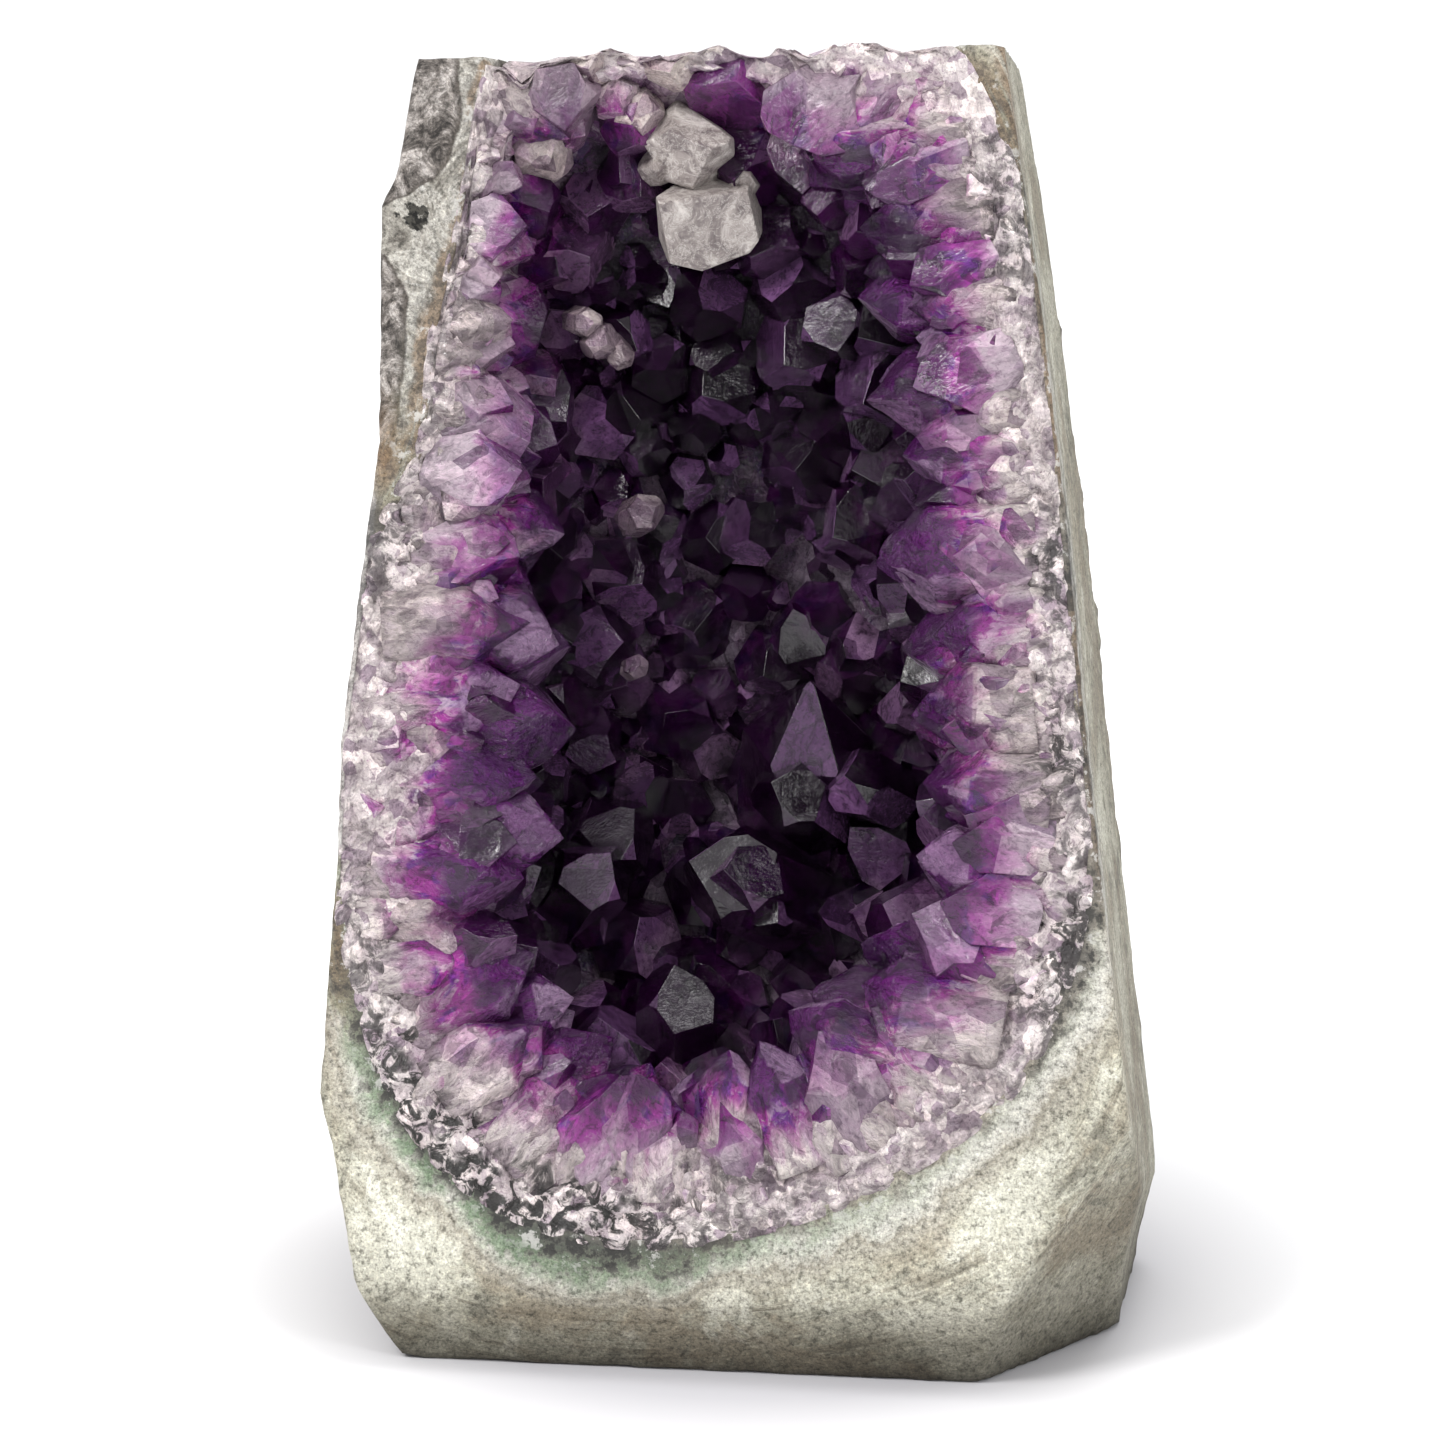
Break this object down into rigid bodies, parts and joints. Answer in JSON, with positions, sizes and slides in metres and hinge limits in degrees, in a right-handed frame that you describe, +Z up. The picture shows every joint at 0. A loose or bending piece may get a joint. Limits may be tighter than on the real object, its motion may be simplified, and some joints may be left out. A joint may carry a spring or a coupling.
{
  "type": "amethyst geode section",
  "caption": "Free-standing section of an amethyst geode: a sawn block of banded host rock whose open hollow is lined with quartz and purple amethyst crystals.",
  "frame": {"origin": "centre of the bounding box at the level of the sawn base that it stands on", "axes": "+Z up along the tall side, the open crystal face towards -Y and leaning back, +X to the right seen from the open face"},
  "size_m": [0.1302, 0.0952, 0.2061],
  "materials": {
    "host_rock": "mottled grey, green and beige volcanic rock, sawn matt on the cut sides and rough and natural on the back",
    "crystal_crust": "translucent quartz, milky white at the roots and lilac to deep purple towards the bright glassy tips"
  },
  "bodies": {
    "root": {"host_rock": "host_rock", "crystal_crust": "crystal_crust"}
  },
  "joints": []
}
